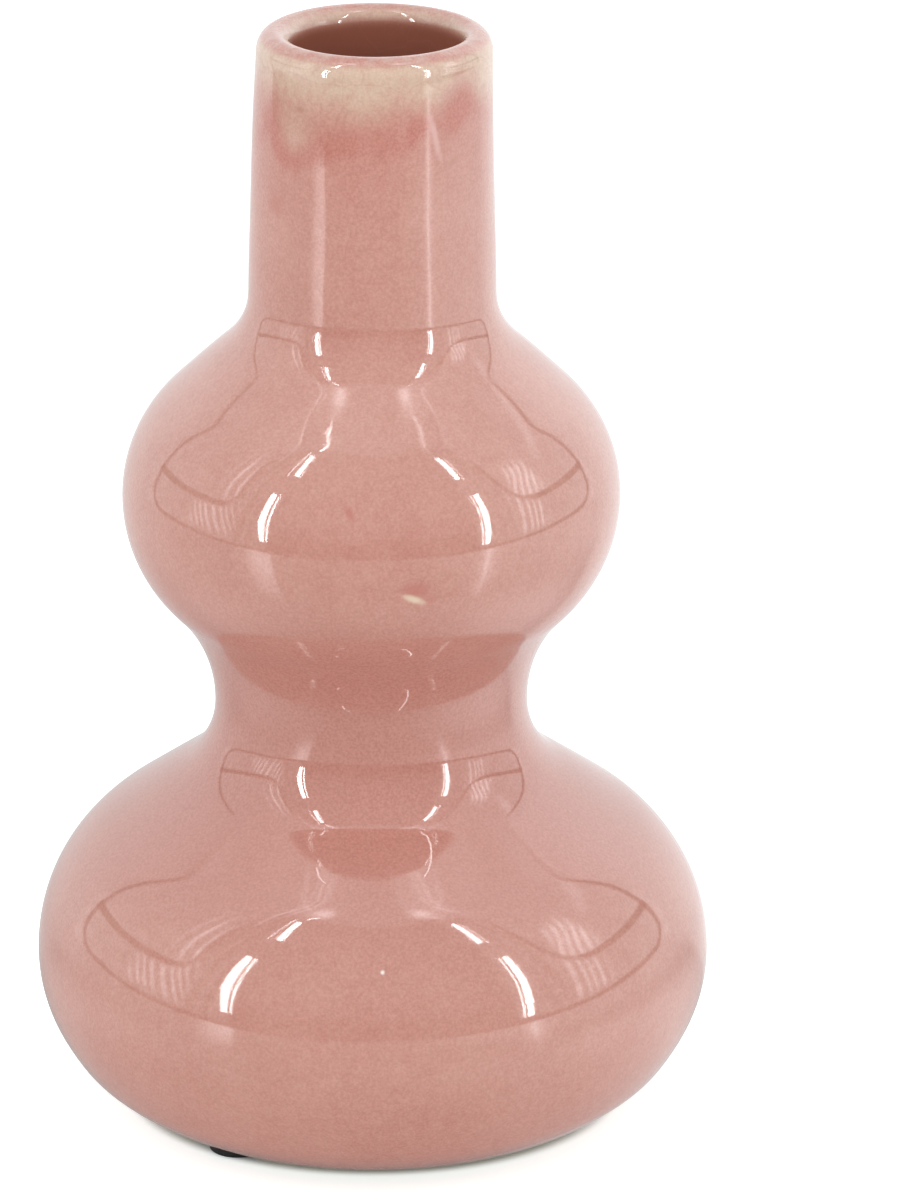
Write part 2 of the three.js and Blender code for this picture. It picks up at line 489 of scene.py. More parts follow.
# The glaze below the lip, in millimetres along the wall from its crest. A bump is its azimuth in
# degrees from the front, its reach and its size.
lipGlaze = {
    "poolLine": 16.9,
    "poolSway": -2.2,
    "poolBumps": [(-42, 12, 1.6), (-60, 7, -3.6), (27, 8, -3.8), (52, 14, -4.8)],
    "poolRipple": (9, 0.5, 0.35),  # times in a turn, phase and size
    "poolHalf": 2.4,
    "poolRise": 1.4,  # how much wider it is above its line
    "poolHalfBumps": [(45, 9, 1.0), (-53, 7, 0.6), (22, 6, 0.5)],
    "poolDepth": 0.62,
    "poolDepthBumps": [(44, 9, 0.65), (22, 6, 0.55), (-53, 8, 0.65), (-36, 8, 0.25), (33, 4, -0.25)],
    "belowDepth": 0.26,
    "creamEnd": 10.2,
    "creamBumps": [(46, 15, -4.4), (13, 9, -1.6), (-38, 14, -1.2), (-57, 6, -2.0), (-72, 9, -3.0),
                   (75, 14, 1.6)],
    "creamRipple": (11, 2.2, 0.5),
    "paleTongue": (-41, 10, 0.40),
    "innerCream": 0.75,
    "crest": 0.8,
}


def bumpsAt(heights, bumps):
    # The sum of bell curves of the height
    return sum(size * hill(centre, reach, heights) for centre, reach, size in bumps)


def bumpsRound(angles, bumps):
    # The sum of bell curves of the angle round the axis
    return sum(size * hill(0, reach * degree, aroundFrom(centre * degree, angles))
               for centre, reach, size in bumps)


def ripple(angles, times, phase, size):
    # A sine of the angle, some times in a turn
    return size * np.sin(times * angles + phase)


def swing(wide, wideArc, narrow, narrowArc, mostAngle, endAngle):
    # Angle and height of the curve from a wide place to a narrow one: an arc that starts upright,
    # a tangent straight stretch, and an arc that ends at endAngle. A hollow arc's radius is negative.
    meeting = wideArc - narrowArc * math.cos(endAngle) - (wide - narrow)
    angle = min(mostAngle, math.acos(meeting / (wideArc - narrowArc)))
    firstWidth = wideArc * (1 - math.cos(angle))
    lastWidth = narrowArc * (math.cos(angle) - math.cos(endAngle))
    straight = (wide - narrow - firstWidth - lastWidth) / math.sin(angle)
    lastHeight = narrowArc * (math.sin(endAngle) - math.sin(angle))
    return angle, wideArc * math.sin(angle) + straight * math.cos(angle) + lastHeight


def arcAt(place, radius, start, end):
    # The arc through a place (r, z, outward normal) in the wall, between two normals
    r, z, normal = place
    return r - radius * math.cos(normal), z - radius * math.sin(normal), radius, start, end


def potArcs():
    # The arcs of the foot's edge, of the outside from the belly to the neck, and of the lip. Each
    # curve is set on the one below it.
    p = potShape
    taper = p["neckTaper"]
    neckRadius = p["rimRadius"] + p["neckLength"] * math.sin(taper)
    under, underHeight = swing(p["bellyRadius"], p["bellyLowerArc"], p["footRadius"], p["footEdge"],
                               p["undersideAngle"], level)
    flank, flankHeight = swing(p["bellyRadius"], p["bellyUpperArc"], p["waistRadius"], -p["waistLowerArc"],
                               p["flankAngle"], 0)
    rise, riseHeight = swing(p["bulbRadius"], p["bulbLowerArc"], p["waistRadius"], -p["waistUpperArc"],
                             level, 0)
    shoulder, shoulderHeight = swing(p["bulbRadius"], p["bulbUpperArc"], neckRadius, -p["neckArc"],
                                     p["shoulderAngle"], taper)
    foot = (p["footRadius"], p["footHeight"], -level)
    belly = (p["bellyRadius"], foot[1] + underHeight, 0)
    waist = (p["waistRadius"], belly[1] + flankHeight, 0)
    bulb = (p["bulbRadius"], waist[1] + riseHeight, 0)
    neck = (neckRadius, bulb[1] + shoulderHeight, taper)
    rim = (p["rimRadius"], neck[1] + p["neckLength"] * math.cos(taper), taper)
    bodyArcs = [
        arcAt(belly, p["bellyLowerArc"], -under, 0),
        arcAt(belly, p["bellyUpperArc"], 0, flank),
        arcAt(waist, -p["waistLowerArc"], flank, 0),
        arcAt(waist, -p["waistUpperArc"], 0, -rise),
        arcAt(bulb, p["bulbLowerArc"], -rise, 0),
        arcAt(bulb, p["bulbUpperArc"], 0, shoulder),
        arcAt(neck, -p["neckArc"], shoulder, taper),
    ]
    footArc = arcAt(foot, p["footEdge"], -level, -under)
    lipArcs = [
        arcAt(rim, p["wall"] / 2, taper, level),
        arcAt(rim, p["wall"] / 2, level, taper + math.pi),
    ]
    return footArc, bodyArcs, lipArcs


def levelLine(radii, height):
    # Points (r, z) at some radii and one height
    return np.stack([radii, np.full(len(radii), height)], 1)


def potLine():
    # The whole section from the middle of the underside, up the outside, over the lip and down
    # the inside to the middle of the floor, how far each point lies outside of the crest along it,
    # and the same of the foot's edge. The inside is the outside's arcs moved in by the wall.
    p = potShape
    footArc, bodyArcs, lipArcs = potArcs()
    recessTop = p["footHeight"] + p["recessDepth"]
    recessArc = (p["recessRadius"], p["footHeight"], p["recessDepth"], level, 0)
    recess = wallLine([recessArc], 0, p["recessStep"], level)
    middle = levelLine(np.linspace(0, p["recessRadius"], p["middleRings"] + 1)[:-1], recessTop)
    ringRadii = np.linspace(recess[-1, 0], p["footRadius"], p["ringRings"] + 2)[1:-1]
    ring = levelLine(ringRadii, p["footHeight"])
    outside = wallLine([footArc] + bodyArcs + lipArcs[:1], 0, p["outsideStep"], p["lipStep"])
    lip = wallLine(lipArcs[1:], 0, p["outsideStep"], p["lipStep"])[1:]

    r, z, radius = bodyArcs[0][:3]
    cavity = radius - p["wall"]
    floorHeight = recessTop + p["wall"]
    corner = -math.asin((z - floorHeight - p["floorArc"]) / (cavity - p["floorArc"]))
    cornerArc = (r + (cavity - p["floorArc"]) * math.cos(corner), floorHeight + p["floorArc"],
                 p["floorArc"] + p["wall"], -level, corner)
    bellySide = (r, z, radius, corner, 0)
    inside = wallLine([cornerArc, bellySide] + bodyArcs[1:], p["wall"], p["insideStep"], level)[::-1]
    floor = levelLine(np.linspace(inside[-1, 0], 0, p["floorRings"] + 1)[1:], floorHeight)
    share = np.linspace(0, 1, p["boreRings"] + 2)[1:-1, None]
    bore = lip[-1] + (inside[0] - lip[-1]) * share ** p["boreCrowding"]

    line = np.concatenate([middle, recess, ring, outside, lip, bore, inside, floor])
    length = np.concatenate([[0], np.cumsum(np.linalg.norm(np.diff(line, axis=0), axis=1))])
    foot = len(middle) + len(recess) + len(ring)
    crest = foot + len(outside) - 1
    return line, length[crest] - length, length[crest] - length[foot]


def bentOffTrue(grid, angle, along, isOutside):
    # The axis moves sideways by bell curves of the height. The outside swells by slow sines of the
    # angle and height and by bell curves of the height. The lip sinks a little on its outer side.
    off = offTrue
    lipRound = potShape["wall"] / 2
    height = grid[..., 2]
    bow = (off["axisShift"] + bumpsAt(height, off["axisBumps"])) * smoothStep(*off["axisStart"], height)
    bore = off["boreShift"] * smoothStep(1, -6, along) * smoothStep(*off["boreShiftStart"], height)
    swell = off["slack"] + off["neckSwell"] * smoothStep(*off["neckSwellStart"], height)
    swell = swell + bumpsAt(height, off["wallBumps"])
    for times, rate, phase, size in off["waves"]:
        swell = swell + ripple(angle, times, height / rate + phase, size)
    radius = np.maximum(np.hypot(grid[..., 0], grid[..., 1]), 1e-9)
    drop = np.clip(height.max() - height, 0, None)
    sunk = off["lipDrop"] * np.minimum(drop / lipRound, 1) * smoothStep(*off["lipDropFade"], drop)
    sunk = sunk * (along > 0)
    scale = 1 + isOutside * swell / radius
    return np.stack([grid[..., 0] * scale + bow + bore, grid[..., 1] * scale, height - sunk], -1)


def lipPatterns(angle, along):
    # The glaze thins to cream below the lip and gathers in a deeper pink line below that. Bell
    # curves of the angle lower the line in a long tongue at the left and raise it at the right,
    # where the pink gathers in a patch.
    g = lipGlaze
    poolLine = g["poolLine"] + g["poolSway"] * np.sin(angle) + bumpsRound(angle, g["poolBumps"])
    poolLine = poolLine + ripple(angle, *g["poolRipple"])
    creamEnd = g["creamEnd"] + bumpsRound(angle, g["creamBumps"]) + ripple(angle, *g["creamRipple"])
    tongue = bumpsRound(angle, [g["paleTongue"]])
    tongue = tongue * band(8, 11, poolLine - 3.0, poolLine, along)
    cream = band(1.6, 3.0, creamEnd - 5.5, creamEnd + 4.6, along)
    innerCream = g["innerCream"] * band(-4.6, -3.0, -1.5, -0.6, along)
    poolHalf = g["poolHalf"] + g["poolRise"] * smoothStep(0, -2, along - poolLine)
    poolHalf = poolHalf + bumpsRound(angle, g["poolHalfBumps"])
    poolDepth = g["poolDepth"] + bumpsRound(angle, g["poolDepthBumps"])
    poolFade = np.exp(-(np.abs((along - poolLine) / poolHalf) ** 2.4))
    below = smoothStep(poolLine - 1, poolLine + 2.5, along) * smoothStep(poolLine + 15, poolLine + 1, along)
    pool = np.maximum(poolDepth * poolFade, g["belowDepth"] * below) * smoothStep(4, 8, along)
    return {
        "cream": np.maximum(np.maximum(cream, tongue), innerCream),
        "pool": pool,
        "crest": g["crest"] * band(-2.9, -1.0, 1.5, 2.9, along),
        "inside": smoothStep(-2.6, -5.6, along),
    }


def makePot():
    # Each ring of the section is turned about the axis, and then moved a little off true
    p = potShape
    line, alongLine, footEdge = potLine()
    grid = turned(line, p["turnSteps"])
    height = grid[..., 2]
    angle = np.arctan2(grid[..., 0], -grid[..., 1])  # from the front, rising to the right
    along = np.broadcast_to(alongLine[:, None], height.shape)
    isOutside = band(0, 3, footEdge - 4, footEdge + 4, along)

    attributes = lipPatterns(angle, along)
    # The waist's painted shade and bounce light, on the outside only
    onWaist = band(*glazeLook["waistShadeHeights"], height)
    attributes["paintedWaistShade"] = glazeLook["waistShadeShare"] * onWaist * isOutside
    bareEnd = footEdge + (p["footRadius"] - p["recessRadius"]) + p["recessDepth"] + 0.5
    attributes["bare"] = band(footEdge - 0.9, footEdge + 0.1, bareEnd - 1, bareEnd + 1, along)

    pot = surfaceOfRings("glazed_pot", bentOffTrue(grid, angle, along, isOutside), attributes)
    pot.data.materials.append(pinkGlaze())
    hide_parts("vase_body")
    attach(pot, "root")
    print("pot made,", len(pot.data.polygons), "faces")


makePot()


# The stick-on pads

padShape = {
    "edge": 0.4,
    "topEdge": 0.25,
    "filmEdge": 0.05,
    "turnSteps": 96,
    "faceRings": 6,
    "edgeStep": 12 * degree,
    "sideStep": 0.6,
    "rubber": paint("18181a"),
    "dust": paint("3a3836"),
    "film": paint("dad6ca"),
    "dullFilm": paint("bdb6a4"),
    "rubberGrain": (0.16, 3.0, 0.7),  # size in millimetres, detail and roughness of the noise
    "dustPatches": (2.2, 3.0, 0.5),
    "filmClouds": (1.4, 3.0, 0.5),
    "grainHeight": 0.05,
    "rubberRoughness": (0.62, 0.85),
    "filmRoughness": (0.35, 0.6),
}


def blackRubber():
    look = padShape
    material, tree, shader = newMaterial("blackRubber")
    place = millimetres(tree)
    grain = noise(tree, place, *look["rubberGrain"])
    patches = noise(tree, place, *look["dustPatches"])
    dust = calc(tree, "MULTIPLY", ramp(tree, patches, 0.5, 0.75), ramp(tree, grain, 0.4, 0.7))
    bump = addNode(tree, "Bump", {"Height": grain, "Distance": look["grainHeight"] * mm, "Strength": 1.0})
    setInputs(tree, shader, {
        "Base Color": blend(tree, dust, look["rubber"], look["dust"]),
        "Roughness": ramp(tree, grain, *mostNoise, *look["rubberRoughness"]),
        "Normal": bump.outputs[0],
    })
    return material


def cloudyFilm():
    look = padShape
    material, tree, shader = newMaterial("cloudyFilm")
    cloud = noise(tree, millimetres(tree), *look["filmClouds"])
    setInputs(tree, shader, {
        "Base Color": blend(tree, ramp(tree, cloud, 0.4, 0.7), look["film"], look["dullFilm"]),
        "Roughness": ramp(tree, cloud, *mostNoise, *look["filmRoughness"]),
    })
    return material


def discLine(radius, low, high, lowEdge, highEdge):
    # Half the section of a flat disc with both edges rounded, from its lower pole to its upper one
    p = padShape
    arcs = [(radius - lowEdge, low + lowEdge, lowEdge, -level, 0),
            (radius - highEdge, high - highEdge, highEdge, 0, level)]
    side = wallLine(arcs, 0, p["sideStep"], p["edgeStep"])
    lower = levelLine(np.linspace(0, side[0, 0], p["faceRings"] + 1)[:-1], low)
    upper = levelLine(np.linspace(side[-1, 0], 0, p["faceRings"] + 1)[1:], high)
    return np.concatenate([lower, side, upper])


def makePads():
    # A pad is its half section turned about its own upright axis, and so is the film above it
    p = padShape
    layers = (("foot_pad_", (p["edge"], p["topEdge"]), blackRubber(), "black_rubber"),
              ("pad_adhesive_", (p["filmEdge"], p["filmEdge"]), cloudyFilm(), "adhesive_film"))
    for place in ("front_left", "right", "back"):
        for layer, edges, material, slot in layers:
            low, high = (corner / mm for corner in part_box(layer + place))
            line = discLine((high.x - low.x) / 2, low.z, high.z, *edges)
            centre = (low + high) / 2
            piece = surfaceOfRings(layer + place + "_fine", turned(line, p["turnSteps"], centre[:2]))
            piece.data.materials.append(material)
            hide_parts(layer + place)
            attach(piece, "root")
    print("pads and films made")


makePads()


# The floor, the tent and its lamps, which are not part of the vase

stageLook = {
    "floorHalf": 1.5,
    "floorDrop": 0.0003,
    "floorColour": (0.95, 0.95, 0.95, 1.0),
    "floorRoughness": 0.9,
    # The camera's glow is low under the pot and rises beside it: a painted contact shadow
    "floorGlow": (0.06, 0.70),  # what the camera sees besides the shading, under the pot and beside it
    "glowReach": (36.9, 40.0),  # millimetres from the axis between which that rises
    "farGlow": (0.0, 0.22),  # what is added to it further out
    "farReach": (43, 66),
    "floorShade": (0.82, 0.88, 0.85),
    "glowColour": (0.95, 1.0, 1.0, 1.0),
    "glowNarrow": 0.88,  # what a millimetre across the view counts for in those distances
    "dayStrength": 0.64,  # light from all round, for everything but the background
    "lampStrength": 7.8,  # light of the strips on the pot and the floor
    "floorBounce": (0.10, 0.0),  # what the lamps throw back up from the floor, near the pot and away
    "bounceReach": (120, 320),
    "stripGlow": 28.0,  # brightness of the strips in the glaze
    "lampWidth": 0.05,
    "lampTarget": (0, 0, 0.1),  # where the soft lamps point
    "tentRadius": 0.72,
    "tentHeight": 0.33,
    "tentTop": 0.15,
    "eyeHeight": 0.11,  # from which the tent's rises are measured
    "tentRise": 0.05,  # of the peak over the roof's edge
    "tentSteps": 900,
    "tentRings": 420,
    "ringShares": (0, 0.35, 0.55, 1),  # of the rings, up to the end of the floor, the wall and the roof
}
# The soft lamps: azimuth in degrees, and both ends' distance from the axis and height in mm
softLamps = {
    "leftLight": (-48.5, (700, 115), (230, 550)),
    "rightLight": (52.0, (700, 90), (240, 540)),
}
# Lamp panels: brightness as a share of the strips', and then, from the low end to the high one,
# the azimuths of both edges in degrees from the front, distance from the axis and height in mm.
# The glints stand close over the belly, for the lamps that it shows by way of the waist.
lampPanels = {
    "leftLower": (1.0, [(-50.3, -48.1, 708, 109), (-52.2, -48.7, 572, 236), (-50.3, -47.5, 419, 378)]),
    "leftLowerInner": (1.0, [(-47.1, -46.5, 708, 109), (-47.5, -46.5, 572, 236), (-46.3, -45.5, 419, 378)]),
    "leftUpper": (1.0, [(-46.3, -43.1, 328, 462), (-50.4, -47.0, 232, 551)]),
    "leftHair": (0.64, [(-49.7, -49.2, 335, 456), (-53.6, -52.8, 222, 560)]),
    "leftHook": (1.0, [(-49.6, -48.2, 212, 572), (-45.0, -43.6, 188, 594)]),
    "rightLower": (1.0, [(51.0, 53.3, 710, 73), (51.4, 54.3, 535, 248), (51.3, 53.9, 424, 359)]),
    "rightLowerInner": (1.0, [(49.5, 50.1, 710, 73), (49.9, 50.4, 535, 248), (49.7, 50.2, 424, 359)]),
    "rightUpper": (1.0, [(47.9, 50.6, 352, 431), (48.9, 52.1, 249, 534)]),
    "rightHair": (0.64, [(52.0, 52.4, 361, 422), (53.2, 53.8, 262, 521)]),
    "rightHook": (0.32, [(51.4, 52.8, 208, 575), (45.6, 47.0, 184, 599)]),
    "leftGlint": (0.36, [(-17.8, -17.2, 35.13, 67.44), (-16.54, -15.93, 34.76, 67.82),
                         (-15.23, -14.61, 34.71, 68.1)]),
    "leftLowGlint": (0.36, [(-16.06, -15.55, 40.54, 63.68), (-14.88, -14.39, 41.93, 62.73),
                            (-13.79, -13.31, 42.6, 62.28), (-12.46, -11.99, 43.09, 61.95)]),
    "rightGlint": (0.36, [(16.06, 16.68, 34.74, 67.96), (18.04, 18.63, 35.18, 67.39),
                          (18.27, 18.84, 36.54, 66.44), (17.8, 18.35, 37.81, 65.56),
                          (17.1, 17.63, 39.11, 64.66), (15.29, 15.8, 40.99, 63.38),
                          (13.82, 14.31, 41.9, 62.76)]),
}


def mirrorAndCameraRays(tree):
    # 1 for rays from the camera and from mirrors and glass, 0 for those that light matt surfaces
    path = addNode(tree, "LightPath")
    seen = calc(tree, "MAXIMUM", path.outputs["Is Camera Ray"], path.outputs["Is Glossy Ray"])
    return calc(tree, "MAXIMUM", seen, path.outputs["Is Transmission Ray"])


def whiteWorld():
    # White as a background and in mirrors, and dimmer as light on matt surfaces
    world = bpy.data.worlds.new("whiteRoom")
    scene.world = world
    world.use_nodes = True
    tree = world.node_tree
    tree.nodes.clear()
    strength = mixed(tree, mirrorAndCameraRays(tree), stageLook["dayStrength"], 1.0)
    back = addNode(tree, "Background", {"Color": (1, 1, 1, 1), "Strength": strength})
    output = tree.nodes.new("ShaderNodeOutputWorld")
    tree.links.new(back.outputs[0], output.inputs[0])


def whiteFloor():
    # A flat square that takes the pot's shadow, and glows so that the camera sees it white away
    # from the pot, and dimmer close round it as a painted contact shadow
    look = stageLook
    half = look["floorHalf"]
    under = -look["floorDrop"]
    mesh = bpy.data.meshes.new("paleFloor")
    corners = [(-half, -half, under), (half, -half, under), (half, half, under), (-half, half, under)]
    mesh.from_pydata(corners, [], [(0, 1, 2, 3)])
    floor = bpy.data.objects.new("paleFloor", mesh)
    scene.collection.objects.link(floor)
    material, tree, shader = newMaterial("paleFloor")
    seen = addNode(tree, "LightPath").outputs["Is Camera Ray"]
    shade = [c * s for c, s in zip(look["floorColour"], look["floorShade"])] + [1.0]
    fromAxis = reachOf(tree, stretched(tree, millimetres(tree), (look["glowNarrow"], 1, 1)))
    glow = calc(tree, "ADD", ramp(tree, fromAxis, *look["glowReach"], *look["floorGlow"]),
                ramp(tree, fromAxis, *look["farReach"], *look["farGlow"]))
    bounce = ramp(tree, fromAxis, *look["bounceReach"], *look["floorBounce"])
    setInputs(tree, shader, {
        "Base Color": blend(tree, seen, look["floorColour"], shade),
        "Roughness": look["floorRoughness"],
        "Specular IOR Level": 0.0,
        "Emission Color": blend(tree, seen, (1, 1, 1, 1), look["glowColour"]),
        "Emission Strength": mixed(tree, seen, bounce, glow),
    })
    mesh.materials.append(material)
    floor.visible_glossy = False


# What the glaze mirrors: brightness at the left and at the right, and places in degrees. A side is
# an azimuth from the front, either way, and a rise is over the horizon as the bulb sees it.
tentLook = {
    "wall": (1.85, 2.5),
    "wallFade": 0.35,
    "wallTop": 1.9,
    "room": 0.12,
    "roomSteps": [(3, 9, 0.5), (12, 22, 0.3), (30, 55, 0.25)],  # from a rise to another, and by how much
    "flap": (1.9, 2.25),
    "pocket": (1.6, 2.0),
    "pillar": (1.15, 1.6),
    "pillarFolds": 0.3,
    "pleats": (3.2, 3.5),
    "edgeFolds": (3.6, 0.0),
    "sheen": (0.0, 4.6),
    "streak": (0.0, 1.5),
    "creases": 0.10,
    "roofLamp": 6.0,
    "roofSpill": 0.5,
    "roofBar": 1.4,
    "floor": (0.87, 1.09),
    "floorToSide": (0.52, 1.16),
    "floorMiddleShade": (0.15, 0.27),
    "floorSideShade": 0.4,
    "floorFade": (0.43, 0.55),
    "floorFadeStart": (100, 85),
    "floorFadeLength": 75,
    "floorPatch": 3.2,
    "patchNearing": 10.5,  # how fast a patch nears the view's middle towards the axis
    "least": 0.03,
    "flapLineDark": 0.85,
    "frameLineDark": 0.8,
    "seamRise": (-7.5, -6.5),
    "clothEnd": 118,
    "pocketStart": 64,
    "pocketTop": 30,
    "pillarSides": (47, 50, 65, 69),
    "pillarTop": (68, 64),
    "roomEnd": (49.5, 46.5),
    "roomTop": (70, 68.5),
    "flapTop": 74,
    "flapSide": 66.5,  # of its standing edge where that comes nearest the front
    "flapNearest": 42,  # the rise of that place
    "flapCurves": (0.002, 0.012),  # how it bends away from there, low at the left and elsewhere
    "flapLow": (9.3, 10.0),  # rise of its lower edge at the cloth's end
    "flapSlope": 0.13,
    "flapCorner": (8.0, 10.0),
    "pleatLean": (0.42, 0.05),
    "frameSide": 116.8,
    "frameLift": 1.3,
    "frameCorner": 8.0,
    "backStart": (118.5, 124),
    "backFade": (0.2, 0.34),
    "backFadeSides": (130, 172),
    "backRises": [-77, -60, -44, -33, -22, -8, 8, 24, 45, 62],
    "leftBack": [0.08, 0.35, 0.75, 0.85, 1.05, 1.3, 1.65, 1.95, 2.0, 1.7],
    "rightBack": [0.1, 0.6, 1.25, 1.4, 1.6, 1.85, 2.2, 2.65, 2.95, 2.4],
}


def leftToRight(pair, isRight):
    # The pair's first value at the left and its second at the right
    return pair[0] + (pair[1] - pair[0]) * isRight


def roundedCorner(first, second, turn):
    # The lesser of the distances from two edges, rounded where they meet
    rounded = turn - np.hypot(turn - first, turn - second)
    return np.where((first < turn) & (second < turn), rounded, np.minimum(first, second))


def flapShape(side, rise, isRight):
    # A flap's edge hangs straight down, turns in a round corner and runs level to the frame.
    # Gives the depth inside both edges, the distance from the standing one, and where that is near.
    t = tentLook
    isLowLeft = (rise < t["flapNearest"]) & (isRight < 0.5)
    standing = side - t["flapSide"] - np.where(isLowLeft, *t["flapCurves"]) * (rise - t["flapNearest"]) ** 2
    lower = rise - leftToRight(t["flapLow"], isRight) - t["flapSlope"] * (t["clothEnd"] - side)
    turn = leftToRight(t["flapCorner"], isRight)
    return roundedCorner(standing, lower, turn), standing, standing < turn / 2


def foldGlow(side, rise, isRight, depth, standing):
    # Folds are sines of the side and rise: pleats that hang across the pocket under the flap, folds
    # along the left flap's edge, and a wrinkled sheen and a slanting streak on the right flap
    t = tentLook
    leaning = side - leftToRight(t["pleatLean"], isRight) * (rise - 8)
    pleats = np.clip(0.25 + 0.75 * np.sin(leaning * 1.6 + 1.2 * np.sin(leaning / 2.7 + 2 * isRight)), 0, 1)
    isPleated = smoothStep(62, 67, side - 4 * isRight) * smoothStep(91, 84, side + 2 * isRight)
    isPleated = isPleated * smoothStep(-5.5, 0, rise) * smoothStep(-1, -4, depth)
    across = standing - 0.10 * (rise - 30)
    edgeFolds = np.clip(np.sin(across / 0.9 + 0.7 * np.sin(rise / 6)), 0, 1) ** 1.5
    edgeFolds = edgeFolds * band(16, 24, 40, 58, rise) * band(0.5, 2, 9, 15, across)
    sheen = smoothStep(0, 3, side - 69 - 0.35 * (rise - 20)) * smoothStep(92, 86, side)
    wrinkles = 0.55 + 0.45 * np.sin(side * 1.5 - rise * 0.7 + np.sin(rise / 3))
    sheen = sheen * band(13, 20, 33, 43, rise) * wrinkles * (depth > 0)
    streak = hill(0, 3.0, rise - 36 - 0.55 * (side - 105)) * hill(108, 12, side)
    shares = {"pleats": isPleated * pleats ** 1.2, "edgeFolds": edgeFolds,
              "sheen": sheen, "streak": streak}
    return sum(leftToRight(t[name], isRight) * share for name, share in shares.items())


def roofGlow(side, rise):
    # The lamps' light on the roof: a bright patch, its spill and a bar along the roof's edge
    t = tentLook
    lamp = t["roofLamp"] * hill(50, 9, side) * hill(74, 3.4, rise)
    spill = t["roofSpill"] * hill(70, 16, side) * hill(71, 7, rise)
    return lamp + spill + t["roofBar"] * band(60, 68, 80, 88, side) * hill(73, 0.8, rise)


def clothGlow(side, rise, isRight):
    # White walls with a flap on either side and a pocket under it, a pillar of cloth in front of
    # each, a dim room between the pillars, and dark seams along the flap and the frame
    t = tentLook
    depth, standing, nearStanding = flapShape(side, rise, isRight)
    isCloth = side < t["clothEnd"]
    isFlap = (depth > 0) & isCloth & (rise < t["flapTop"])
    isPocket = (side > t["pocketStart"]) & ~isFlap & isCloth & (rise < t["pocketTop"])
    fading = t["wallFade"] * smoothStep(38, 62, rise) * smoothStep(75, 95, side)
    glow = leftToRight(t["wall"], isRight) * (1 - fading)
    glow = np.where((side < 50) & (rise > 60), t["wallTop"], glow)
    glow = np.where(isFlap, leftToRight(t["flap"], isRight), glow)
    glow = np.where(isPocket, leftToRight(t["pocket"], isRight), glow)
    pillar = band(*t["pillarSides"], side) * smoothStep(*t["pillarTop"], rise)
    pillarGlow = leftToRight(t["pillar"], isRight) + t["pillarFolds"] * np.sin(side * 1.1 + rise / 9)
    glow = glow * (1 - pillar) + pillarGlow * pillar
    room = smoothStep(*t["roomEnd"], side) * smoothStep(*t["roomTop"], rise)
    roomGlow = t["room"] + sum(size * smoothStep(start, end, rise) for start, end, size in t["roomSteps"])
    glow = glow * (1 - room) + roomGlow * room
    glow = glow + foldGlow(side, rise, isRight, depth, standing)
    creases = np.sin(0.35 * side + 0.5 * rise + 2 * np.sin(side / 9)) * np.sin(rise / 4 - side / 11)
    glow = glow * (1 + t["creases"] * creases * (side > 50)) + roofGlow(side, rise)

    lineHalf = np.where(nearStanding, 1.1, 1.5)
    flapLine = smoothStep(lineHalf + 0.6, lineHalf - 0.4, np.abs(depth)) * isCloth
    flapLine = flapLine * smoothStep(64, 40, rise) * np.where(nearStanding, 0.75, 1.0)
    inward = t["frameSide"] - side
    upward = rise - leftToRight(t["seamRise"], isRight) - t["frameLift"]
    frameLine = smoothStep(1.5, 0.5, np.abs(roundedCorner(inward, upward, t["frameCorner"])))
    frameLine = frameLine * (inward > -2) * (upward > -2) * smoothStep(50, 38, rise) * (side >= 46)
    return glow * (1 - t["flapLineDark"] * flapLine) * (1 - t["frameLineDark"] * frameLine)


def floorGlow(azimuth, side, rise, isRight):
    # Brighter towards the sides, with painted lamplight in patches under the lamps, and dim near and under
    # the pot: a painted shadow.
    # A patch runs straight towards the side of the pot, so its azimuth falls as it nears the axis.
    t = tentLook
    toSide = leftToRight(t["floorToSide"], isRight) * smoothStep(15, 70, side)
    glow = leftToRight(t["floor"], isRight) + toSide
    fadeStart = leftToRight(t["floorFadeStart"], isRight)
    fading = smoothStep(fadeStart, fadeStart + t["floorFadeLength"], side)
    glow = glow * (1 - leftToRight(t["floorFade"], isRight) * fading)
    glow = glow * (1 - t["floorSideShade"] * smoothStep(80, 125, side) * smoothStep(-20, -36, rise))
    glow = glow * (1 - leftToRight(t["floorMiddleShade"], isRight) * hill(-27, 9, rise))
    nearing = t["patchNearing"] * np.tan(np.clip(-rise, 0, 60) * degree)
    leftPatch = band(-63, -51, -48, -45.5, azimuth - nearing)
    rightPatch = 0.7 * hill(54.5, 4.0, azimuth + nearing) + 0.7 * hill(54.3, 1.0, azimuth + nearing)
    glow = glow + t["floorPatch"] * (leftPatch + rightPatch) * smoothStep(-40, -15, rise)
    return glow * (0.3 + 0.7 * smoothStep(-70, -38, rise)) * (0.3 + 0.7 * smoothStep(-77, -66, rise))


def tentGlow(azimuth, rise):
    # Brightness of the tent and its floor. Past the frame the cloth runs down into the floor with
    # no seam, and its brightness goes by the rise alone, fading towards the back.
    t = tentLook
    side = np.abs(azimuth)
    isRight = smoothStep(-30, 30, azimuth)
    seam = leftToRight(t["seamRise"], isRight)
    above = smoothStep(seam - 0.5, seam + 0.5, rise)
    glow = floorGlow(azimuth, side, rise, isRight) * (1 - above) + clothGlow(side, rise, isRight) * above
    leftBack = np.interp(rise, t["backRises"], t["leftBack"])
    rightBack = np.interp(rise, t["backRises"], t["rightBack"])
    back = leftToRight((leftBack, rightBack), isRight)
    back = back * (1 - leftToRight(t["backFade"], isRight) * smoothStep(*t["backFadeSides"], side))
    behind = smoothStep(*t["backStart"], side)
    return np.maximum(glow * (1 - behind) + back * behind, t["least"])


